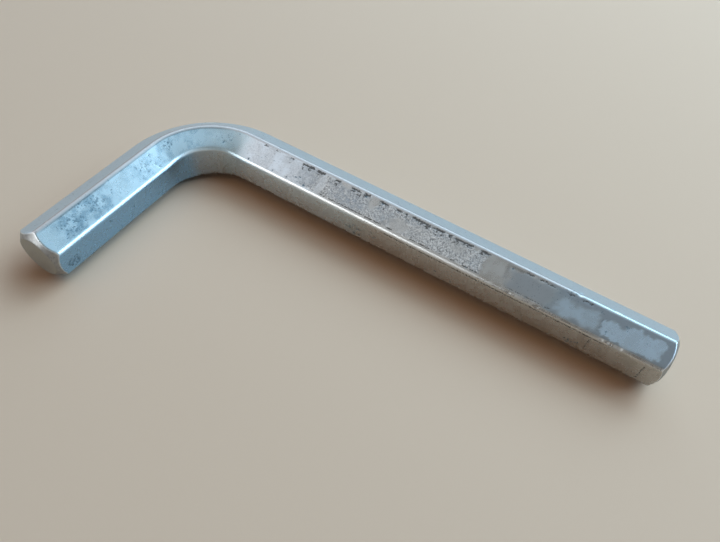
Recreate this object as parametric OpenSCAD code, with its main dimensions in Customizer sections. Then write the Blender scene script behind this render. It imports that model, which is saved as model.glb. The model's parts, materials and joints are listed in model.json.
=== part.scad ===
// Hex key: an L-shaped wrench bent from one hexagonal steel bar.
// It lies flat, on the ridges of the bar. The long arm runs along +X and the short arm
// along -Y. The origin is on the surface below the key, at the middle of its outline's box.

/* [Bar] */
// Width across the flats of the bar
across_flats = 14; // [12:0.5:16]
// Radius of the rounded ridges between the flats
ridge_radius = 1.1; // [0.4:0.1:1.6]

/* [Arms] */
// Overall length of the long arm, from the outside of the short arm
long_length = 156; // [110:1:260]
// Overall length of the short arm, from the outside of the long arm
short_length = 70; // [55:1:120]
// Radius of the bend, to the middle of the bar
bend_radius = 20; // [14:0.5:28]

/* [Ends] */
// Diameter of the flat face on the end of the long arm
long_face_d = 12; // [8:0.1:13]
// Length of the chamfer on the end of the long arm, along a ridge
long_chamfer = 1.4; // [0.6:0.1:4]
// Diameter of the flat face on the end of the short arm
short_face_d = 11.8; // [8:0.1:13]
// Length of the chamfer on the end of the short arm, along a ridge
short_chamfer = 1.9; // [0.6:0.1:4]

/* [Hidden] */
// Sides drawn on the round faces
$fn = 96;
// Angles around the bar of its six ridges, with one straight up and one straight down
ridge_angles = [30:60:330];
// Angles that place the points of a ridge's round, from one flat's edge to the next
round_turns = [-30:10:30];
// Distance from the middle of the bar to the centre of each ridge's round
round_centre = (across_flats - 2 * ridge_radius) / sqrt(3);
// Distance from the middle of the bar to the top of a ridge
ridge_reach = round_centre + ridge_radius;
// Place of the corner where the centre lines of the two arms cross
corner = [(across_flats - long_length) / 2, (short_length - across_flats) / 2, ridge_reach];
// Straight lengths from the bend to each end
long_straight = long_length - across_flats / 2 - bend_radius;
short_straight = short_length - across_flats / 2 - bend_radius;

function polar(r, a) = [r * cos(a), r * sin(a)];

// Section of the bar: six flats joined by rounded ridges
module section() {
    polygon([
        for (a = ridge_angles, turn = round_turns)
            polar(round_centre, a) + polar(ridge_radius, a + turn)
    ]);
}

// A straight arm up the Z axis, with a round flat face and a conical chamfer on its end
module arm(length, face_d, chamfer) {
    spread = (ridge_reach - face_d / 2) / chamfer;
    intersection() {
        linear_extrude(length) section();
        cylinder(h = length, r1 = face_d / 2 + spread * length, r2 = face_d / 2);
    }
}

// The quarter bend, between the ends of the two arms
module bend() {
    translate([bend_radius, -bend_radius, 0])
        rotate_extrude(angle = 90, start = 90)
            translate([bend_radius, 0]) section();
}

module hex_key() {
    color("lightslategray")
        translate(corner) {
            bend();
            translate([bend_radius, 0, 0])
                rotate([90, 0, 90]) arm(long_straight, long_face_d, long_chamfer);
            translate([0, -bend_radius, 0])
                rotate([90, 0, 0]) arm(short_straight, short_face_d, short_chamfer);
        }
}

hex_key();
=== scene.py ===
"""A worn hex key, lying on a pale surface in soft daylight."""
import json
import math
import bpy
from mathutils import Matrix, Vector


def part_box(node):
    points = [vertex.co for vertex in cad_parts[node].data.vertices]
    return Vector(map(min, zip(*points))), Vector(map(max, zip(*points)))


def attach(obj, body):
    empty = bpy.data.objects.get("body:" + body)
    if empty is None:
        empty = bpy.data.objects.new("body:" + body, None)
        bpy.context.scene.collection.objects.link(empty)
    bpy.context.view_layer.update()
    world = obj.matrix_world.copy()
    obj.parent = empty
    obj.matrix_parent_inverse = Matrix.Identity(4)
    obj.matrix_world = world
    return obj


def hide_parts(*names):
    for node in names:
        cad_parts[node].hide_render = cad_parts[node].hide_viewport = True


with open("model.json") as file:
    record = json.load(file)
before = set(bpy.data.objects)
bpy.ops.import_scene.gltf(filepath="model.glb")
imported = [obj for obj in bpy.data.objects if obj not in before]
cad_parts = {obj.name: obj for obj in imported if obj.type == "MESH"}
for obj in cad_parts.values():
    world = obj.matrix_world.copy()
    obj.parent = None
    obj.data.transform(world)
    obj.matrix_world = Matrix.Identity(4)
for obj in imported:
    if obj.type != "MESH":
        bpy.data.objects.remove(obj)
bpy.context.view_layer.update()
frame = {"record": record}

from types import SimpleNamespace

import bpy
import numpy as np
from mathutils import Matrix, Vector, noise

# ---------------------------------------------------------------- sizes, in millimetres
MM = 0.001
low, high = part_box("hex_key")
mounts = {m["name"]: m for m in frame["record"]["mounts"]}
long_end = Vector(mounts["long_end_face"]["pos_m"]) / MM
short_end = Vector(mounts["short_end_face"]["pos_m"]) / MM
low_mm, high_mm = low / MM, high / MM

ACROSS_FLATS = 2 * (high_mm.y - long_end.y)
# From the middle of the bar to the top of a ridge
REACH = (high_mm.z - low_mm.z) / 2
RIDGE_RADIUS = (REACH - ACROSS_FLATS / math.sqrt(3)) / (1 - 2 / math.sqrt(3))
# From the middle of the bar to the centre of a ridge's round
ROUND_CENTRE = REACH - RIDGE_RADIUS
# These five are the CAD's own values, which the frame doesn't state
BEND_RADIUS = 20.0
LONG_FACE_RADIUS, LONG_CHAMFER = 6.0, 1.4
SHORT_FACE_RADIUS, SHORT_CHAMFER = 5.9, 1.9

# A place on the bar is (along, around): along the middle line from the long arm's end,
# and around the section from the top ridge towards the inside of the bend.
CORNER = Vector((short_end.x, long_end.y, REACH))
LONG_STRAIGHT = long_end.x - CORNER.x - BEND_RADIUS
SHORT_STRAIGHT = CORNER.y - short_end.y - BEND_RADIUS
BEND_LENGTH = BEND_RADIUS * math.pi / 2
BAR_LENGTH = LONG_STRAIGHT + BEND_LENGTH + SHORT_STRAIGHT
ROUND_LENGTH = RIDGE_RADIUS * math.pi / 3
FLAT_LENGTH = (ACROSS_FLATS - 2 * RIDGE_RADIUS) / math.sqrt(3)
SIDE_LENGTH = FLAT_LENGTH + ROUND_LENGTH

# ---------------------------------------------------------------- camera, in metres
CAMERA_AZIMUTH = math.radians(24.07)
CAMERA_ELEVATION = math.radians(52.20)
CAMERA_ROLL = math.radians(8.43)
CAMERA_DISTANCE = 0.16664
CAMERA_TARGET = Vector((-0.00317, 0.01385, 0.0))
CAMERA_LENS = 29.325
CAMERA_SENSOR = 36.0
CAMERA_CLIP = 0.01


def add_camera():
    """The photograph's viewpoint, with the lens and the sensor in millimetres."""
    back = Vector((
        math.sin(CAMERA_AZIMUTH) * math.cos(CAMERA_ELEVATION),
        -math.cos(CAMERA_AZIMUTH) * math.cos(CAMERA_ELEVATION),
        math.sin(CAMERA_ELEVATION),
    ))
    right = Vector((0, 0, 1)).cross(back).normalized()
    turned = Matrix((right, back.cross(right), back)).transposed().to_4x4()
    data = bpy.data.cameras.new("camera")
    data.sensor_width = CAMERA_SENSOR
    data.lens = CAMERA_LENS
    data.clip_start = CAMERA_CLIP
    camera = bpy.data.objects.new("camera", data)
    bpy.context.scene.collection.objects.link(camera)
    camera.matrix_world = (
        Matrix.Translation(CAMERA_TARGET + back * CAMERA_DISTANCE)
        @ turned
        @ Matrix.Rotation(CAMERA_ROLL, 4, "Z")
    )
    bpy.context.scene.camera = camera


# ---------------------------------------------------------------- light and floor, in metres
LAMP_DISTANCE = 1.2
LAMPS = [
    # name, direction, size, colour, watts, whether it lights the floor, whether reflections show it
    ("back_window", (-0.08, 0.76, 0.64), (1.4, 0.9), (0.64, 0.84, 1.0), 9, True, True),
    ("right_window", (0.82, 0.38, 0.43), (0.6, 0.5), (0.50, 0.76, 1.0), 8.5, False, True),
    ("front_left_window", (-0.44, -0.83, 0.38), (0.75, 0.40), (0.92, 0.97, 1.0), 4.3, False, True),
    ("room_fill", (0.0, -0.25, 0.95), (1.6, 1.6), (1.0, 0.61, 0.29), 4.2, True, False),
    ("sky_light", (0.42, 0.56, 0.71), (1.3, 1.0), (0.60, 0.84, 1.0), 20, True, False),
]


def add_lamp(name, direction, size, colour, watts, lights_floor, reflects):
    """A soft rectangular lamp that faces the key from this direction."""
    data = bpy.data.lights.new(name, "AREA")
    data.shape = "RECTANGLE"
    data.size, data.size_y = size
    data.color = colour
    data.energy = watts
    lamp = bpy.data.objects.new(name, data)
    bpy.context.scene.collection.objects.link(lamp)
    way = Vector(direction).normalized()
    lamp.location = way * LAMP_DISTANCE
    lamp.rotation_euler = way.to_track_quat("Z", "Y").to_euler()
    lamp.visible_diffuse = lights_floor
    lamp.visible_glossy = reflects


AMBIENT = (0.130, 0.115, 0.100)
GLOWS = [
    # direction, cosine where it starts, cosine where it is full, colour
    ((0.25, 0.70, 0.68), 0.25, 0.98, (0.40, 0.60, 0.76)),
    ((0.00, -0.30, 0.95), 0.55, 1.00, (0.18, 0.185, 0.18)),
    ((-0.80, -0.25, 0.55), 0.72, 0.98, (0.80, 0.84, 0.90)),
    ((-0.70, 0.42, 0.56), 0.60, 0.98, (0.52, 0.60, 0.70)),
    ((0.90, -0.10, 0.30), 0.84, 0.98, (0.80, 0.86, 0.92)),
    ((0.60, -0.76, 0.20), 0.90, 0.99, (0.48, 0.51, 0.54)),
]


def glow(tree, way, direction, start, full, colour):
    """A soft patch of sky, whose edge and middle are set by the cosine to its direction."""
    dot = tree.nodes.new("ShaderNodeVectorMath")
    dot.operation = "DOT_PRODUCT"
    dot.inputs[1].default_value = Vector(direction).normalized()
    tree.links.new(way, dot.inputs[0])
    share = tree.nodes.new("ShaderNodeMapRange")
    share.interpolation_type = "SMOOTHERSTEP"
    share.inputs["From Min"].default_value = start
    share.inputs["From Max"].default_value = full
    tree.links.new(dot.outputs["Value"], share.inputs["Value"])
    tint = tree.nodes.new("ShaderNodeVectorMath")
    tint.operation = "SCALE"
    tint.inputs[0].default_value = colour
    tree.links.new(share.outputs["Result"], tint.inputs["Scale"])
    return tint.outputs["Vector"]


def add_sky():
    """A dim room with soft bright patches, which is seen only in reflections."""
    world = bpy.data.worlds.new("sky")
    bpy.context.scene.world = world
    world.use_nodes = True
    world.cycles_visibility.diffuse = False
    tree = world.node_tree
    way = tree.nodes.new("ShaderNodeTexCoord").outputs["Generated"]
    total = None
    for patch in GLOWS:
        add = tree.nodes.new("ShaderNodeVectorMath")
        if total is None:
            add.inputs[0].default_value = AMBIENT
        else:
            tree.links.new(total, add.inputs[0])
        tree.links.new(glow(tree, way, *patch), add.inputs[1])
        total = add.outputs["Vector"]
    tree.links.new(total, tree.nodes["Background"].inputs["Color"])


FLOOR_HALF = 1.5
FLOOR_COLOUR = (0.555, 0.42, 0.32, 1)
FLOOR_ROUGHNESS = 0.9


def add_floor():
    mesh = bpy.data.meshes.new("floor")
    signs = [(-1, -1), (1, -1), (1, 1), (-1, 1)]
    corners = [(x * FLOOR_HALF, y * FLOOR_HALF, 0) for x, y in signs]
    mesh.from_pydata(corners, [], [(0, 1, 2, 3)])
    material = bpy.data.materials.new("floor_card")
    material.use_nodes = True
    shader = material.node_tree.nodes["Principled BSDF"]
    shader.inputs["Base Color"].default_value = FLOOR_COLOUR
    shader.inputs["Roughness"].default_value = FLOOR_ROUGHNESS
    mesh.materials.append(material)
    floor = bpy.data.objects.new("floor", mesh)
    bpy.context.scene.collection.objects.link(floor)


# ---------------------------------------------------------------- the shape of the bar
def smooth(low_edge, high_edge, value):
    """0 below low_edge, 1 above high_edge, and a smooth step between."""
    t = np.clip((value - low_edge) / (high_edge - low_edge), 0, 1)
    return t * t * (3 - 2 * t)


def section(around):
    """Offsets of the plain section to the front, which is the inside of the bend, and up."""
    ridge = np.round(around / SIDE_LENGTH)
    past = around - ridge * SIDE_LENGTH
    in_round = np.clip(past, -ROUND_LENGTH / 2, ROUND_LENGTH / 2)
    ridge_angle = math.pi / 2 - ridge * math.pi / 3
    facing = ridge_angle - in_round / RIDGE_RADIUS
    on_flat = past - in_round
    front = ROUND_CENTRE * np.cos(ridge_angle) + RIDGE_RADIUS * np.cos(facing) + on_flat * np.sin(facing)
    up = ROUND_CENTRE * np.sin(ridge_angle) + RIDGE_RADIUS * np.sin(facing) - on_flat * np.cos(facing)
    return front, up


# The most that bending adds to the height of the inner side, and takes from the outer side
BEND_SWELL = 0.25
BEND_DRAW_IN = 0.08
# The bend's change of section starts this far out on the arms, and is whole in this middle share
BEND_RUN_OUT = 3.0
BEND_WHOLE_SHARE = 0.25


def bend_share(along):
    """How far into the bend a place is: 0 on the arms and 1 in the middle of the bend."""
    reach = BEND_LENGTH / 2 + BEND_RUN_OUT
    off = np.abs(along - LONG_STRAIGHT - BEND_LENGTH / 2)
    return smooth(reach, reach * BEND_WHOLE_SHARE, off)


def bent_section(along, front, up):
    """Bending swells the inner side up and down and draws the outer side in."""
    share = bend_share(along)
    half = ACROSS_FLATS / 2
    inner = np.clip(front / half, 0, 1)
    outer = np.clip(-front / half, 0, 1)
    up = up * (1 + BEND_SWELL * share * inner ** 1.5)
    front = front * (1 - BEND_DRAW_IN * share * outer)
    return front, up


def place(along, front, up):
    """The point in the row's frame, in millimetres, of a place in the straightened bar."""
    turn = np.clip((along - LONG_STRAIGHT) / BEND_RADIUS, 0, math.pi / 2)
    beyond = np.maximum(along - LONG_STRAIGHT - BEND_LENGTH, 0)
    past = np.where(along < LONG_STRAIGHT, along - LONG_STRAIGHT, beyond)
    reach = BEND_RADIUS - front
    x = CORNER.x + BEND_RADIUS - reach * np.sin(turn) - past * np.cos(turn)
    y = CORNER.y - BEND_RADIUS + reach * np.cos(turn) - past * np.sin(turn)
    return np.stack([x, y, CORNER.z + up], -1)


AROUND_STEPS_FLAT, AROUND_STEPS_ROUND = 20, 6
# How strongly a flat's points crowd towards its ridges, from 0, evenly spaced, to less than 1
CROWDING = 0.5
RING_SPACING = 0.38
# Each end has rings on its face, chamfer and fillets, and on the straight bar up to END_ZONE
END_ZONE = 4.0
RINGS_FACE, RINGS_FILLET, RINGS_CHAMFER, RINGS_END_ZONE = 12, 4, 5, 12
# Length of the fillet beside each edge of a chamfer, and the most of the chamfer that it takes
FILLET = 0.28
FILLET_SHARE = 0.45


def around_places():
    """Places around the section, closest together on the ridges and beside them."""
    steps = []
    t = np.linspace(0, 1, AROUND_STEPS_FLAT, endpoint=False)
    crowded = t - CROWDING * np.sin(2 * math.pi * t) / (2 * math.pi)
    round_steps = np.linspace(0, 1, AROUND_STEPS_ROUND // 2, endpoint=False)
    half = ROUND_LENGTH / 2
    for side in range(-3, 3):
        start = side * SIDE_LENGTH
        steps.append(start + half * round_steps)
        steps.append(start + half + FLAT_LENGTH * crowded)
        steps.append(start + half + FLAT_LENGTH + half * round_steps)
    return np.concatenate(steps)


def fillet(start, corner, end):
    """Points on a round from start to end that would meet at the corner."""
    steps = np.linspace(0, 1, RINGS_FILLET, endpoint=False)
    return [(1 - t) ** 2 * start + 2 * t * (1 - t) * corner + t ** 2 * end for t in steps]


def end_rings(face_radius, chamfer, radius):
    """Rings of (depth from the end, distance from the middle), from the face's middle to END_ZONE."""
    spread = (REACH - face_radius) / chamfer
    edge_depth = (radius - face_radius) / spread
    zero = np.zeros_like(radius)
    face = np.stack([zero, zero + face_radius], -1)
    edge = np.stack([edge_depth, radius], -1)
    slope = edge - face
    length = np.linalg.norm(slope, axis=-1, keepdims=True)
    slope = slope / length
    inward, back = np.array([0.0, -1.0]), np.array([1.0, 0.0])
    cut = np.minimum(FILLET, length * FILLET_SHARE)
    face_in, face_out = face + inward * cut, face + slope * cut
    edge_in, edge_out = edge - slope * cut, edge + back * cut
    rings = [np.stack([zero, zero + face_radius * k / RINGS_FACE], -1) for k in range(1, RINGS_FACE)]
    rings += fillet(face_in, face, face_out)
    rings += [face_out + (edge_in - face_out) * t for t in np.linspace(0, 1, RINGS_CHAMFER, endpoint=False)]
    rings += fillet(edge_in, edge, edge_out)
    rest = np.stack([zero + END_ZONE, radius], -1)
    rings += [edge_out + (rest - edge_out) * t for t in np.linspace(0, 1, RINGS_END_ZONE, endpoint=False)]
    return rings


def bar_grid():
    """Arrays (ring, around) of along, around, front and up, from the long end's face to the short end's."""
    around = around_places()
    front, up = section(around)
    radius = np.hypot(front, up)
    long_rings = [np.moveaxis(r, -1, 0) for r in end_rings(LONG_FACE_RADIUS, LONG_CHAMFER, radius)]
    short_rings = [np.moveaxis(r, -1, 0) for r in end_rings(SHORT_FACE_RADIUS, SHORT_CHAMFER, radius)]
    rings = []
    for depth, out in long_rings:
        rings.append((depth, front * out / radius, up * out / radius))
    count = round((BAR_LENGTH - 2 * END_ZONE) / RING_SPACING)
    for along in np.linspace(END_ZONE, BAR_LENGTH - END_ZONE, count):
        rings.append((np.full_like(around, along), front, up))
    for depth, out in reversed(short_rings):
        rings.append((BAR_LENGTH - depth, front * out / radius, up * out / radius))
    along, front, up = (np.array([r[k] for r in rings]) for k in range(3))
    return along, np.broadcast_to(around, along.shape), front, up


# ---------------------------------------------------------------- wear and painted light, as fields over the bar
# Places, spans and radii are (along, around) in millimetres. The upper inner flat, from the top
# ridge (around 0) to the inner ridge (around SIDE_LENGTH), is worn the most on the long arm. The
# lower inner flat lies below the inner ridge. The upper outer flat is on the top ridge's other
# side, where around is negative.
def oval(along, around, centre, radii):
    """1 inside an oval patch and 0 outside it, with a soft edge."""
    out = np.hypot((along - centre[0]) / radii[0], (around - centre[1]) / radii[1])
    return 1 - smooth(0.7, 1.3, out)


def band(value, start, end, soft):
    """1 between start and end, fading over soft at both ends."""
    return smooth(start - soft, start + soft, value) * (1 - smooth(end - soft, end + soft, value))


def most(*fields):
    """The strongest of several fields at each place."""
    return np.maximum.reduce(np.broadcast_arrays(*fields))


def ovals(along, around, patches):
    """The strongest of several ovals, each (middle, radii, strength)."""
    return most(*[strength * oval(along, around, middle, radii) for middle, radii, strength in patches])


def stretches(along, spans, soft):
    """1 along each of several spans, each (start, end)."""
    return most(*[band(along, start, end, soft) for start, end in spans])


SEED_STEP = 17.3
FRACTAL_DECAY, FRACTAL_RATIO = 0.9, 2.0


def cloud(points, size, seed, octaves=4):
    """Fractal noise, about -1 to 1, with features of this size in millimetres."""
    flat = points.reshape(-1, 3) / size + seed * SEED_STEP
    values = [noise.fractal(point, FRACTAL_DECAY, FRACTAL_RATIO, octaves) for point in flat.tolist()]
    return np.array(values).reshape(points.shape[:-1])


# The flats' spans around the bar
UPPER_INNER = (0.5, SIDE_LENGTH - 0.5)
LOWER_INNER = (SIDE_LENGTH + 0.4, 2 * SIDE_LENGTH - 0.4)
BELOW_INNER_RIDGE = (SIDE_LENGTH + 0.4, 3 * SIDE_LENGTH)
UPPER_OUTER = (-SIDE_LENGTH - 0.4, -0.5)
# The scaly patch: its span along and around the bar, where it thins out, and the thin scale there
PATCH_SPAN = (51.0, 113.0)
PATCH_WIDTH = (0.95, 6.95)
PATCH_THINS = (100, 114)
THIN_SCALE = (100, 127)
# Near the long end: the two patches of plating, where the bare steel round them ends, and a film
END_PLATING = (2.8, 17.8)
INNER_PLATING = (19.4, 30.0)
BARE_ENDS = (29.5, 34.5)
FILM_BLOCK = (31.6, 43.6)
# Where bluish plating sets in, on the upper inner flat, the lower inner flat and the whole inner
# side, and where a deep blue is painted below the inner ridge as a reflection of blue light
BLUE_UPPER = (118, 134)
BLUE_LOWER = (80, 95)
BLUE_INNER_SIDE = (138, 156)
PAINTED_BLUE_REFLECTION_SPAN = (128, 152)
# Brighter plating: where it sets in and ends above the inner ridge, and its span below it
SILVER_STARTS = (97, 106)
SILVER_ENDS = (125, 131)
SILVER_LOWER = (90, 130)
# Cloudy places on the bend and on the short arm
HAZE_BEND = (144, 173)
HAZE_SHORT_ARM = (180, 197)
# Dirt and painted shade on the lower inner flat, darkened partly for the shaded floor that it reflects: where
# it fades in two steps, the darkest end, and the bend, where it is painted shade for the dark inner corner
DIRT_AND_SHADE_THINS = (35, 60)
DIRT_AND_SHADE_ENDS = (78, 92)
DIRT_AND_SHADE_LONG_END = (10, 18)
PAINTED_SHADE_BEND = (134, 150)
# Smooth islands of plating left in the scaly patch
ISLANDS = [
    ((85.4, 1.9), (1.6, 2.6), 1.0),
    ((101.8, 4.3), (1.1, 3.2), 1.0),
    ((76.2, 4.8), (3.2, 1.9), 0.7),
    ((80.0, 6.6), (0.8, 1.6), 0.9),
    ((54.6, 1.2), (0.8, 0.9), 0.9),
    ((94.8, 1.3), (1.9, 0.9), 0.9),
    ((59.5, 3.0), (2.5, 1.6), 0.4),
    ((70.0, 3.8), (2.5, 1.6), 0.3),
]
# Darker places in the scale
STAINS = [
    ((81.5, 4.2), (3.2, 2.6), 0.7),
    ((92.5, 4.4), (6.0, 2.9), 0.9),
    ((106.5, 4.0), (3.2, 3.0), 0.7),
    ((88.5, 2.0), (1.3, 1.3), 0.8),
    ((53.0, 4.5), (2.0, 2.4), 0.5),
    ((72.0, 1.9), (4.0, 1.2), 0.5),
    ((64.5, 1.9), (3.0, 1.0), 0.5),
    ((98.0, 2.2), (2.0, 1.4), 0.6),
    ((115.5, 1.9), (3.0, 1.2), 0.3),
]
# Spans where the flat has a dark ragged edge: along the top ridge by the scaly patch, along it
# elsewhere, and along the inner ridge
PATCH_TOP_EDGE = [
    (50.4, 53.2), (55.6, 61.0), (61.8, 62.6), (64.2, 67.4), (68.0, 73.8), (75.2, 76.0), (77.0, 79.0),
    (81.2, 84.0), (87.4, 89.0), (90.0, 93.2), (97.0, 98.4), (102.0, 105.0), (105.6, 109.6),
]
TOP_EDGE = PATCH_TOP_EDGE + [
    (22.0, 25.0), (27.2, 29.2), (32.0, 36.6), (37.8, 40.6), (112.6, 114.0), (118.5, 119.5), (122.0, 123.4),
]
FOOT_EDGE = [
    (31.0, 44.0), (51.2, 56.0), (57.6, 59.4), (62.2, 63.0), (65.6, 69.0), (69.8, 72.0), (77.0, 79.0),
    (80.8, 86.0), (86.6, 94.8), (95.4, 98.0), (99.0, 101.0), (112.0, 112.8), (116.6, 117.4), (124.6, 126.2),
]
# Places where dark specks gather
SPECKLED = [
    ((108.3, 5.4), (2.4, 1.5), 0.9),
    ((117.0, 3.6), (7.0, 2.6), 0.45),
    ((136.5, 3.4), (3.6, 2.4), 0.62),
    ((156.8, 3.0), (2.0, 1.9), 0.95),
    ((164.0, 4.6), (1.4, 3.0), 0.72),
    ((168.2, 4.0), (2.6, 2.2), 0.88),
    ((178.0, 3.0), (2.6, 2.6), 0.70),
    ((185.5, 3.8), (3.2, 2.8), 1.0),
    ((193.5, 4.2), (3.6, 3.0), 1.0),
    ((190.0, 1.8), (5.0, 1.2), 0.85),
    ((196.6, 1.8), (1.0, 0.9), 1.0),
    ((185.3, 10.2), (0.9, 0.9), 0.9),
    ((198.6, 13.2), (2.2, 1.8), 1.05),
    ((182.0, 15.0), (0.8, 0.8), 0.9),
    ((177.0, 11.4), (0.5, 1.2), 0.9),
    ((88.0, 13.0), (3.5, 2.2), 0.8),
    ((82.2, 12.0), (1.6, 1.8), 0.75),
    ((23.0, 13.6), (2.4, 1.2), 0.9),
    ((59.0, 14.6), (9.0, 0.7), 0.55),
    ((12.6, 2.5), (1.0, 0.8), 0.8),
    ((17.0, 5.6), (2.2, 1.4), 0.75),
]
# Single pits: along, around, radius
PITS = [
    (125.6, 6.8, 0.45), (112.2, 6.7, 0.35), (117.2, 6.8, 0.35), (108.4, 5.0, 0.3), (106.4, 6.6, 0.4),
    (135.2, 3.5, 0.35), (136.8, 5.2, 0.3), (156.4, 2.4, 0.4), (156.0, 3.5, 0.3), (163.8, 2.1, 0.3),
    (167.1, 3.8, 0.35), (168.1, 3.4, 0.3), (164.0, 6.4, 0.35), (164.4, 5.1, 0.25), (170.5, 6.3, 0.25),
    (184.5, 5.3, 0.3), (187.1, 4.5, 0.4), (190.4, 5.4, 0.3), (192.7, 3.9, 0.4), (193.7, 6.2, 0.3),
    (196.3, 5.6, 0.3), (196.9, 6.2, 0.3), (185.3, 10.2, 0.35), (199.7, 12.5, 0.45), (197.6, 13.6, 0.4),
    (86.3, 14.6, 0.4), (62.0, 13.4, 0.3), (83.1, 1.2, 0.4), (92.4, 1.5, 0.4), (88.4, 1.5, 0.45),
    (75.6, 1.2, 0.35), (62.4, 1.2, 0.3), (54.8, 6.7, 0.3), (43.8, 1.4, 0.3), (113.4, 1.2, 0.35),
]
# Nicks in the top ridge and the inner ridge: middle, radii, strength
NICKS = [
    ((26.0, -0.5), (0.5, 1.0), 1.0),
    ((12.2, SIDE_LENGTH), (0.5, 0.5), 1.0),
    ((13.4, SIDE_LENGTH), (0.4, 0.5), 1.0),
    ((14.6, SIDE_LENGTH), (0.5, 0.5), 1.0),
    ((17.0, SIDE_LENGTH), (0.4, 0.4), 1.0),
    ((34.2, SIDE_LENGTH), (0.35, 0.35), 0.7),
    ((42.0, SIDE_LENGTH), (0.3, 0.35), 0.5),
]
# Size in millimetres and seed of each noise that makes the wear uneven
DRIFT_SIZE = 2.6
DRIFT_ALONG_SEED, DRIFT_AROUND_SEED = 1, 2
JAG_SIZE, JAG_SEED = 0.9, 3
BROAD_SIZE, BROAD_SEED = 7.0, 4
MIDDLE_SIZE, MIDDLE_SEED = 3.0, 5
GRAIN_SIZE, GRAIN_SEED, GRAIN_OCTAVES = 0.8, 7, 3
CHIP_SIZE, CHIP_SEED, CHIP_OCTAVES = 0.6, 8, 2


def uneven_places(along, around, bar):
    """Places on the bar, also shifted by noise so that wear has wavy or frayed edges, and its inner flats."""
    drift_along = cloud(bar, DRIFT_SIZE, DRIFT_ALONG_SEED)
    drift_around = cloud(bar, DRIFT_SIZE, DRIFT_AROUND_SEED)
    jag = cloud(bar, JAG_SIZE, JAG_SEED)
    return SimpleNamespace(
        along=along,
        around=around,
        jag=jag,
        broad=cloud(bar, BROAD_SIZE, BROAD_SEED),
        middle=cloud(bar, MIDDLE_SIZE, MIDDLE_SEED),
        wavy_along=along + 0.7 * drift_along,
        wavy_around=around + 0.45 * drift_around,
        frayed_along=along + 1.6 * drift_along + 0.5 * jag,
        frayed_around=around + 1.1 * drift_around + 0.3 * jag,
        upper_inner=band(around, *UPPER_INNER, 0.15),
        lower_inner=band(around, *LOWER_INNER, 0.2),
    )


def scale_and_stain(p):
    """The scaly patch of the upper inner flat, and the darker places in it."""
    patch = band(p.wavy_along, *PATCH_SPAN, 0.4) * band(p.around + 0.2 * p.jag, *PATCH_WIDTH, 0.15)
    patch *= 1 - smooth(*PATCH_THINS, p.wavy_along + 4 * p.middle)
    scale = patch * (1 - ovals(p.wavy_along, p.wavy_around, ISLANDS))
    thin = p.upper_inner * band(p.wavy_along, *THIN_SCALE, 3) * smooth(-0.6, 0.2, p.middle)
    stain = ovals(p.wavy_along, p.wavy_around, STAINS) * p.upper_inner
    by_edge = stretches(p.along, PATCH_TOP_EDGE, 0.5) * band(p.wavy_around, 0.8, 1.8, 0.4)
    return most(scale, 0.4 * thin), most(stain, 0.7 * by_edge)


def ragged_edges(p):
    """The scale's dark edges, with teeth that reach down from the one by the top ridge."""
    top = stretches(p.along + 0.3 * p.jag, TOP_EDGE, 0.25) * band(p.around + 0.3 * p.jag, 0.78, 1.22, 0.12)
    teeth = stretches(p.along, TOP_EDGE, 0.3) * band(p.around, 1.0, 2.2 + p.jag, 0.3)
    teeth *= smooth(0.15, 0.5, p.jag)
    foot = stretches(p.along, FOOT_EDGE, 0.3) * band(p.around + 0.12 * p.jag, 6.72, 7.0, 0.1)
    edges = most(top, 0.8 * teeth * smooth(50, 52, p.along), 0.75 * foot)
    faint_beyond_scale = 1 - 0.45 * smooth(109, 113, p.along)
    return edges * (0.7 + 0.3 * smooth(48, 51, p.along)) * faint_beyond_scale


def intact_plating(p):
    """The light patches of plating left on the upper inner flat near the long end."""
    top = 1.8 + 1.3 * smooth(8, 18, p.frayed_along)
    by_end = band(p.frayed_along, *END_PLATING, 0.3) * band(p.frayed_around, top, 7.0, 0.25)
    further_in = band(p.frayed_along, *INNER_PLATING, 1.2) * band(p.frayed_around, 2.8, 6.8, 0.8)
    return most(by_end, 0.85 * further_in)


def bare_end(p, intact):
    """The upper inner flat by the long end, where the plating is gone."""
    return p.upper_inner * (1 - smooth(*BARE_ENDS, p.frayed_along)) * (1 - intact)


def dull_film(p, bare):
    """A dull film on the bare end and on a block next to it."""
    block = band(p.frayed_along, *FILM_BLOCK, 2.0) * band(p.frayed_around, 1.2, 6.9, 0.6)
    return p.upper_inner * most(0.7 * block, bare)


def blue_plating(p, intact, bare):
    """Where the plating is bluish and not worn grey."""
    upper = smooth(*BLUE_UPPER, p.along) * band(p.around, 0.2, SIDE_LENGTH + 0.3, 0.2)
    inner_side = smooth(*BLUE_INNER_SIDE, p.along) * (p.around > 0)
    lower = p.lower_inner * smooth(*BLUE_LOWER, p.along)
    outer = 1.0 * (p.around < 0.2)
    return most(p.upper_inner * intact, 0.9 * bare, upper, lower, inner_side, outer)


def silver_plating(p):
    """The brighter plating between the scale and the bend."""
    upper = smooth(*SILVER_STARTS, p.wavy_along) * (1 - smooth(*SILVER_ENDS, p.wavy_along))
    return most(p.upper_inner * upper, 0.6 * p.lower_inner * band(p.along, *SILVER_LOWER, 6))


def haze(p):
    """The dull cloudy places on the bend and the short arm."""
    spans = most(0.6 * band(p.along, *HAZE_BEND, 4), band(p.along, *HAZE_SHORT_ARM, 2.5))
    return spans * band(p.around, 0.9, 7.2, 0.3) * smooth(-0.5, 0.3, p.middle)


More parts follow.
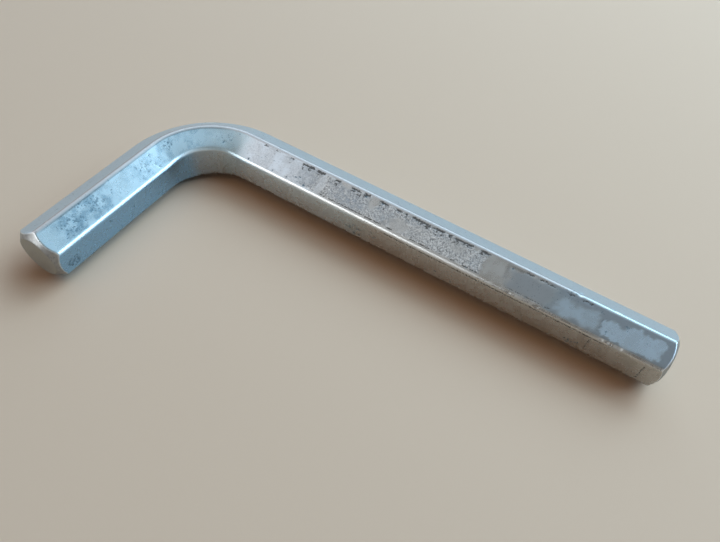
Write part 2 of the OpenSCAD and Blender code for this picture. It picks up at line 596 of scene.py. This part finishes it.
def dirt_and_shade(p):
    """Warm darkening of the lower inner flat, partly dirt and partly painted shade for the shaded floor that
    it reflects, most of it on the long arm's outer half, and painted shade in the bend for the dark inner
    corner.
    """
    outer_half = (1 - smooth(*DIRT_AND_SHADE_ENDS, p.along)) * (0.8 + 0.2 * p.middle)
    outer_half *= 1 - 0.4 * smooth(*DIRT_AND_SHADE_THINS, p.along)
    long_end = 1 - smooth(*DIRT_AND_SHADE_LONG_END, p.along)
    return p.lower_inner * most(outer_half, long_end, 0.8 * band(p.along, *PAINTED_SHADE_BEND, 4))


def cracks(p):
    """Thin dark lines on the lower inner flat: two across it and one along its upper edge."""
    return p.lower_inner * most(
        0.5 * band(p.along + 0.12 * p.jag, 19.0, 19.4, 0.15) * band(p.around, 9.6, 14.4, 0.4),
        0.6 * band(p.along, 5.0, 5.35, 0.15) * band(p.around, 9.2, 15.2, 0.3),
        0.6 * band(p.along, 15, 80, 2) * band(p.around + 0.1 * p.jag, 8.75, 9.15, 0.15),
    )


def dark_lines(p):
    """Clean dark lines below the top ridge, and painted shade along the foot of the lower inner flat, for the
    dark shadow under the bar that its lower ridge reflects.
    """
    by_top_ridge = p.upper_inner * most(
        0.7 * band(p.around, 0.85, 1.15, 0.1) * smooth(178, 181, p.along) * (1 - smooth(194, 197, p.along)),
        0.6 * band(p.around, 0.72, 1.0, 0.1) * band(p.along, 137, 200, 3),
        0.3 * oval(p.along, p.around, (45.0, 2.0), (0.5, 1.6)),
        0.4 * oval(p.along, p.around, (42.5, 1.15), (2.6, 0.35)),
    )
    # Painted shade along the lower ridge, for the dark shadow beneath the bar
    foot = band(p.around, 2 * SIDE_LENGTH - 0.4, 2 * SIDE_LENGTH + 0.7, 0.2)
    return most(by_top_ridge, 0.6 * foot * (1 - smooth(140, 160, p.along)))


def single_pits(p):
    """Each of the single pits, a little out of round."""
    along, around = p.along + 0.25 * p.jag, p.around + 0.25 * p.middle
    return most(*[oval(along, around, (at, across), (radius, radius)) for at, across, radius in PITS])


def dark_specks(p, scale):
    """How thickly dark specks lie: in their own places, on the short end's chamfer and thinly all over."""
    near_short_end = smooth(BAR_LENGTH - 1.4, BAR_LENGTH - 0.6, p.along) * (p.along < BAR_LENGTH - 0.05)
    all_over = smooth(0.0, 0.6, p.broad + 0.5 * p.middle)
    places = ovals(p.along, p.around, SPECKLED)
    return most(places, 0.45 * near_short_end, 0.45 * all_over) * (1 - 0.6 * scale)


def wear(along, around, bar):
    """Fields of wear, painted shade and painted reflection over the bar, mostly from 0 to 1, under the names
    that the material reads.
    """
    p = uneven_places(along, around, bar)
    scale, stain = scale_and_stain(p)
    intact = intact_plating(p)
    bare = bare_end(p, intact)
    edges = ragged_edges(p)
    return {
        "scale": scale,
        "stain": stain,
        "edges": most(edges, cracks(p)),
        "lines": dark_lines(p),
        "grooves": most(edges, 0.5 * cracks(p)),
        "film": np.clip(dull_film(p, bare), 0, 1) * (1 - scale),
        "pits": single_pits(p),
        "specks": dark_specks(p, scale),
        "haze": haze(p),
        "dirt_and_shade": np.clip(dirt_and_shade(p), 0, 1),
        "blue": np.clip(blue_plating(p, intact, bare), 0, 1),
        # Painted reflection: deep blue below the inner ridge past the bend, for blue light that this flat
        # reflects
        "painted_blue_reflection": smooth(*PAINTED_BLUE_REFLECTION_SPAN, along) * band(around, *BELOW_INNER_RIDGE, 0.3),
        "pale": band(around, *UPPER_OUTER, 0.2),
        "silver": silver_plating(p),
        "intact": p.upper_inner * intact,
        "ridge": band(around, -0.7, 0.72, 0.12) * smooth(18, 32, along),
        "soft": band(around, SIDE_LENGTH - 0.9, SIDE_LENGTH + 0.9, 0.3) * smooth(45, 60, along),
        "broad": 0.5 + 0.5 * p.broad,
        "middle": 0.5 + 0.5 * p.middle,
    }


# How deep each kind of wear cuts, in millimetres
DEPTH_UNEVEN = 0.015
DEPTH_INNER_RIDGE = 0.12
DEPTH_SCALE = 0.05
DEPTH_DARK_EDGES = 0.06
DEPTH_PITS = 0.04
DEPTH_NICKS = 0.14
DEPTH_TOP_GROOVE = 0.05


def carve(along, around, fields, bar):
    """How far, in millimetres, wear cuts the surface back."""
    grain = 0.5 + 0.5 * cloud(bar, GRAIN_SIZE, GRAIN_SEED, GRAIN_OCTAVES)
    chipped_ridge = band(along, 11, 18, 0.5) * band(around, -1.0, 0.6, 0.3)
    chipped_ridge *= smooth(0.1, 0.5, cloud(bar, CHIP_SIZE, CHIP_SEED, CHIP_OCTAVES))
    nicks = most(ovals(along, around, NICKS), 0.5 * chipped_ridge)
    top_groove = band(around, 0.12, 0.42, 0.12) * smooth(49, 53, along) * (1 - smooth(126, 136, along))
    inner_ridge = np.exp(-((around - SIDE_LENGTH) / 0.6) ** 2)
    return (
        DEPTH_UNEVEN * np.clip(1 - fields["broad"], 0, 1)
        + DEPTH_INNER_RIDGE * inner_ridge
        + DEPTH_SCALE * fields["scale"] * (0.4 + grain)
        + DEPTH_DARK_EDGES * fields["grooves"]
        + DEPTH_PITS * fields["pits"]
        + DEPTH_NICKS * nicks
        + DEPTH_TOP_GROOVE * top_groove
    )


# ---------------------------------------------------------------- the key's mesh
# How far below the plain section a chamfer starts to show, and shows fully, in millimetres
CUT_BACK = (0.05, 0.25)
# Points this close to an end are on its flat face, which has none of these marks
FACE_DEPTH = 0.02
NOT_ON_FACES = ("edges", "lines", "pits", "specks", "scale", "grooves")


def key_fields(along, around, front, up, bar):
    """Every field over the key: its wear and painted light, its chamfers, the painted highlights on the rims
    beside them and its end faces.
    """
    fields = wear(along, around, bar)
    whole_front, whole_up = section(around)
    fields["cut"] = smooth(*CUT_BACK, np.hypot(whole_front, whole_up) - np.hypot(front, up))
    # A painted highlight on the rim where each chamfer meets the flats
    fields["rim_highlight"] = 4 * fields["cut"] * (1 - fields["cut"])
    fields["face"] = 1.0 * (np.minimum(along, BAR_LENGTH - along) < FACE_DEPTH)
    for name in NOT_ON_FACES:
        fields[name] = fields[name] * (1 - fields["face"])
    return fields


def key_faces(rings, sides):
    """Quads between the rings, and a fan of triangles from the middle point of each end."""
    index = np.arange(rings * sides).reshape(rings, sides)
    beside = np.roll(index, -1, axis=1)
    quads = np.stack([index[:-1], index[1:], beside[1:], beside[:-1]], -1).reshape(-1, 4)
    first, last = rings * sides, rings * sides + 1
    faces = [tuple(quad) for quad in quads.tolist()]
    faces += [(first, int(a), int(b)) for a, b in zip(index[0], beside[0])]
    faces += [(last, int(b), int(a)) for a, b in zip(index[-1], beside[-1])]
    return faces


def store_fields(mesh, bar, fields):
    """Give each point its place in the straightened bar and its fields, for the material to read."""
    end_middles = np.array([[0.0, 0, 0], [BAR_LENGTH, 0, 0]])
    places = np.concatenate([bar.reshape(-1, 3), end_middles]).astype(np.float32)
    mesh.attributes.new("bar", "FLOAT_VECTOR", "POINT").data.foreach_set("vector", places.ravel())
    for name, field in fields.items():
        at_middle = 1.0 if name in ("cut", "face") else 0.0
        values = np.append(field.reshape(-1), [at_middle, at_middle])
        attribute = mesh.attributes.new(name, "FLOAT", "POINT")
        attribute.data.foreach_set("value", values.astype(np.float32))


def build_key():
    """The worn key: the bar's rings, cut back by wear, bent and closed at both ends."""
    along, around, front, up = bar_grid()
    bar = np.stack([along, front, up], -1)
    fields = key_fields(along, around, front, up, bar)
    depth = carve(along, around, fields, bar)
    pull = 1 - depth / np.maximum(np.hypot(front, up), 1.0)
    points = place(along, *bent_section(along, front * pull, up * pull))
    end_middles = place(np.array([0.0, BAR_LENGTH]), np.zeros(2), np.zeros(2))
    verts = np.concatenate([points.reshape(-1, 3), end_middles])
    mesh = bpy.data.meshes.new("worn_key")
    mesh.from_pydata((verts * MM).tolist(), [], key_faces(*along.shape))
    mesh.shade_smooth()
    store_fields(mesh, bar, fields)
    key = bpy.data.objects.new("worn_key", mesh)
    bpy.context.scene.collection.objects.link(key)
    return key


# ---------------------------------------------------------------- material
class Shader:
    """Short ways to add nodes to a material."""

    def __init__(self, name):
        self.material = bpy.data.materials.new(name)
        self.material.use_nodes = True
        self.tree = self.material.node_tree
        self.surface = self.tree.nodes["Principled BSDF"]

    def node(self, kind, inputs=(), **settings):
        """A new node, with its settings made and each of its inputs linked or set."""
        node = self.tree.nodes.new("ShaderNode" + kind)
        for key, value in settings.items():
            setattr(node, key, value)
        for key, value in dict(inputs).items():
            self.put(node.inputs[key], value)
        return node

    def put(self, socket, value):
        """Link the socket if the value is another node's output, and set it otherwise."""
        if isinstance(value, bpy.types.NodeSocket):
            self.tree.links.new(value, socket)
        else:
            socket.default_value = value

    def field(self, name):
        return self.node("Attribute", attribute_name=name).outputs["Fac"]

    def math(self, operation, a, b, clamp=False):
        return self.node("Math", {0: a, 1: b}, operation=operation, use_clamp=clamp).outputs[0]

    def noise(self, where, scale, detail, roughness, stretch=(1, 1, 1)):
        spot = self.node("VectorMath", {0: where, 1: stretch}, operation="MULTIPLY").outputs[0]
        inputs = {"Vector": spot, "Scale": scale, "Detail": detail, "Roughness": roughness}
        return self.node("TexNoise", inputs).outputs["Fac"]

    def step(self, value, start, end, low=0.0, high=1.0):
        """A smooth step from low at start to high at end."""
        inputs = {"Value": value, "From Min": start, "From Max": end, "To Min": low, "To Max": high}
        return self.node("MapRange", inputs, interpolation_type="SMOOTHSTEP").outputs[0]

    def mix(self, share, a, b):
        node = self.node("Mix", data_type="RGBA")
        self.put(node.inputs[0], share)
        self.put(node.inputs[6], a)
        self.put(node.inputs[7], b)
        return node.outputs[2]

    def blend(self, share, a, b):
        node = self.node("Mix", data_type="FLOAT")
        self.put(node.inputs[0], share)
        self.put(node.inputs[2], a)
        self.put(node.inputs[3], b)
        return node.outputs[0]


# Base colours, as linear red, green, blue and alpha
WORN = (0.57, 0.57, 0.56, 1)
PLATING = (0.50, 0.62, 0.67, 1)
PLATING_LIGHT = (0.55, 0.68, 0.80, 1)
PLATING_DULL = (0.30, 0.42, 0.49, 1)
# Painted reflection of blue light, below the inner ridge
PAINTED_BLUE_REFLECTION = (0.27, 0.48, 0.70, 1)
PLATING_PALE = (0.47, 0.58, 0.67, 1)
SILVER = (0.65, 0.70, 0.75, 1)
RIDGE = (0.38, 0.34, 0.32, 1)
FILM = (0.33, 0.375, 0.42, 1)
# Dirt and painted shade: the lower inner flat darkened partly for the shaded floor that it reflects
DIRT_AND_SHADE = (0.39, 0.375, 0.345, 1)
SCALE_DARK = (0.19, 0.185, 0.18, 1)
SCALE_LIGHT = (0.61, 0.59, 0.57, 1)
STAIN = (0.28, 0.30, 0.32, 1)
# Dark marks, and the painted shade along the foot of the lower inner flat
MARK_AND_SHADE = (0.07, 0.065, 0.06, 1)
SPOT = (0.09, 0.15, 0.19, 1)
CHAMFER = (0.26, 0.26, 0.26, 1)
CHAMFER_LIGHT = (0.34, 0.34, 0.33, 1)
# Painted highlight on the chamfers' rims
RIM_HIGHLIGHT = (0.82, 0.85, 0.87, 1)
END_FACE = (0.37, 0.36, 0.31, 1)

BUMP_STRENGTH = 0.6
BUMP_METRES = 0.00025


def plating_colour(m, mottle):
    """The plating's colours, from silvery blue to dull, and a deep blue painted below the inner ridge as a
    reflection of blue light.
    """
    colour = m.mix(m.step(mottle, 0.36, 0.56), PLATING_DULL, PLATING)
    colour = m.mix(m.step(m.field("middle"), 0.1, 0.55), PLATING_DULL, colour)
    colour = m.mix(0.25, PLATING, colour)
    hazy = m.math("MULTIPLY", m.field("haze"), m.step(mottle, 0.40, 0.62, 1.2, 0.5), True)
    colour = m.mix(hazy, colour, PLATING_DULL)
    # Painted reflection: a deep blue below the inner ridge stands in for blue light that it reflects
    colour = m.mix(m.field("painted_blue_reflection"), colour, PAINTED_BLUE_REFLECTION)
    pale = m.math("MULTIPLY", m.field("pale"), m.step(mottle, 0.30, 0.62, 0.62, 1.0))
    return m.mix(pale, colour, PLATING_PALE)


def worn_colour(m, mottle, grain):
    """The flats and ridges: bare steel, plating, film, dirt with painted shade, scale and stains, one over
    the other.
    """
    colour = m.mix(m.field("blue"), WORN, plating_colour(m, mottle))
    colour = m.mix(m.field("intact"), colour, PLATING_LIGHT)
    colour = m.mix(m.field("silver"), colour, SILVER)
    colour = m.mix(m.math("MULTIPLY", m.field("ridge"), 0.8), colour, RIDGE)
    colour = m.mix(m.field("film"), colour, FILM)
    # Dirt and painted shade on the lower inner flat
    dirt_and_shade_share = m.math("MULTIPLY", m.field("dirt_and_shade"), m.step(mottle, 0.3, 0.6, 1.0, 0.75))
    colour = m.mix(dirt_and_shade_share, colour, DIRT_AND_SHADE)
    scale_colour = m.mix(m.step(grain, 0.38, 0.60), SCALE_DARK, SCALE_LIGHT)
    colour = m.mix(m.field("scale"), colour, scale_colour)
    stain = m.math("MULTIPLY", m.field("stain"), m.step(mottle, 0.35, 0.6, 1.0, 0.3))
    return m.mix(m.math("MULTIPLY", stain, 0.85), colour, STAIN)


def end_colour(m, mottle, colour):
    """The chamfers, the painted highlights on the rims beside them and the end faces, over the flats' colour.
    """
    chamfer = m.mix(m.step(mottle, 0.35, 0.6), CHAMFER, CHAMFER_LIGHT)
    colour = m.mix(m.field("cut"), colour, chamfer)
    # Painted highlight along the rims beside the chamfers
    colour = m.mix(m.math("MULTIPLY", m.field("rim_highlight"), 0.7), colour, RIM_HIGHLIGHT)
    end_face = m.mix(m.step(mottle, 0.3, 0.65, 0.0, 0.6), END_FACE, CHAMFER_LIGHT)
    return m.mix(m.field("face"), colour, end_face)


def dark_marks(m, fine, blot):
    """How dark the ragged edges are, and how dark the pits and specks are."""
    ragged = m.step(fine, 0.25, 0.75, -0.45, 0.45)
    edge = m.step(m.math("ADD", m.field("edges"), ragged), 0.22, 0.62)
    pit = m.step(m.math("ADD", m.field("pits"), ragged), 0.40, 0.85)
    speck_level = m.math("ADD", blot, m.math("MULTIPLY", m.field("specks"), 0.26))
    speck = m.math("MULTIPLY", m.step(speck_level, 0.70, 0.86), m.step(fine, 0.35, 0.6, 0.45, 0.85))
    return edge, m.math("MAXIMUM", m.math("MULTIPLY", pit, 0.85), speck)


def roughness(m, mottle, grain, marks):
    """Plating and bare steel are the smoothest, and marks and end faces the roughest."""
    rough = m.step(m.math("ADD", m.field("middle"), mottle), 0.6, 1.4, 0.32, 0.22)
    rough = m.blend(m.field("film"), rough, 0.34)
    rough = m.blend(m.field("pale"), rough, m.step(mottle, 0.30, 0.62, 0.40, 0.34))
    rough = m.blend(m.field("ridge"), rough, 0.40)
    rough = m.blend(m.field("soft"), rough, 0.36)
    rough = m.blend(m.field("scale"), rough, m.step(grain, 0.3, 0.7, 0.50, 0.36))
    rough = m.blend(marks, rough, 0.55)
    rough = m.blend(m.field("cut"), rough, 0.42)
    return m.blend(m.field("face"), rough, 0.55)


def relief(m, grain, brushed, marks):
    """The scale's grain, faint brushing along the bar and sunken marks, too fine for the mesh."""
    height = m.math("MULTIPLY", grain, m.math("ADD", m.field("scale"), 0.03))
    height = m.math("ADD", height, m.math("MULTIPLY", brushed, 0.03))
    height = m.math("SUBTRACT", height, m.math("MULTIPLY", marks, 0.05))
    bump = m.node("Bump", {"Height": height, "Strength": BUMP_STRENGTH, "Distance": BUMP_METRES})
    return bump.outputs["Normal"]


def steel():
    """The key's one material. Its noises lie in the straightened bar, so they follow the bend."""
    m = Shader("worn_steel")
    bar = m.node("Attribute", attribute_name="bar").outputs["Vector"]
    grain = m.noise(bar, 2.1, 5.0, 0.78)
    fine = m.noise(bar, 2.6, 4.0, 0.7)
    mottle = m.noise(bar, 0.8, 4.0, 0.65)
    blot = m.noise(bar, 1.3, 3.0, 0.6)
    brushed = m.noise(bar, 1.0, 3.0, 0.6, (0.12, 3.0, 3.0))
    edge, spots = dark_marks(m, fine, blot)
    marks = m.math("MAXIMUM", spots, edge)
    colour = end_colour(m, mottle, worn_colour(m, mottle, grain))
    colour = m.mix(spots, colour, SPOT)
    # Dark edges and lines, and painted shade along the foot of the lower inner flat
    colour = m.mix(m.math("MULTIPLY", m.math("MAXIMUM", edge, m.field("lines")), 0.9), colour, MARK_AND_SHADE)
    m.put(m.surface.inputs["Base Color"], colour)
    m.put(m.surface.inputs["Roughness"], roughness(m, mottle, grain, marks))
    m.put(m.surface.inputs["Normal"], relief(m, grain, brushed, marks))
    m.surface.inputs["Metallic"].default_value = 1.0
    return m.material


# ---------------------------------------------------------------- the scene
bpy.context.scene.view_settings.view_transform = "Standard"
add_camera()
for lamp in LAMPS:
    add_lamp(*lamp)
add_sky()
add_floor()
key = build_key()
key.data.materials.append(steel())
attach(key, "root")
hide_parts("hex_key")
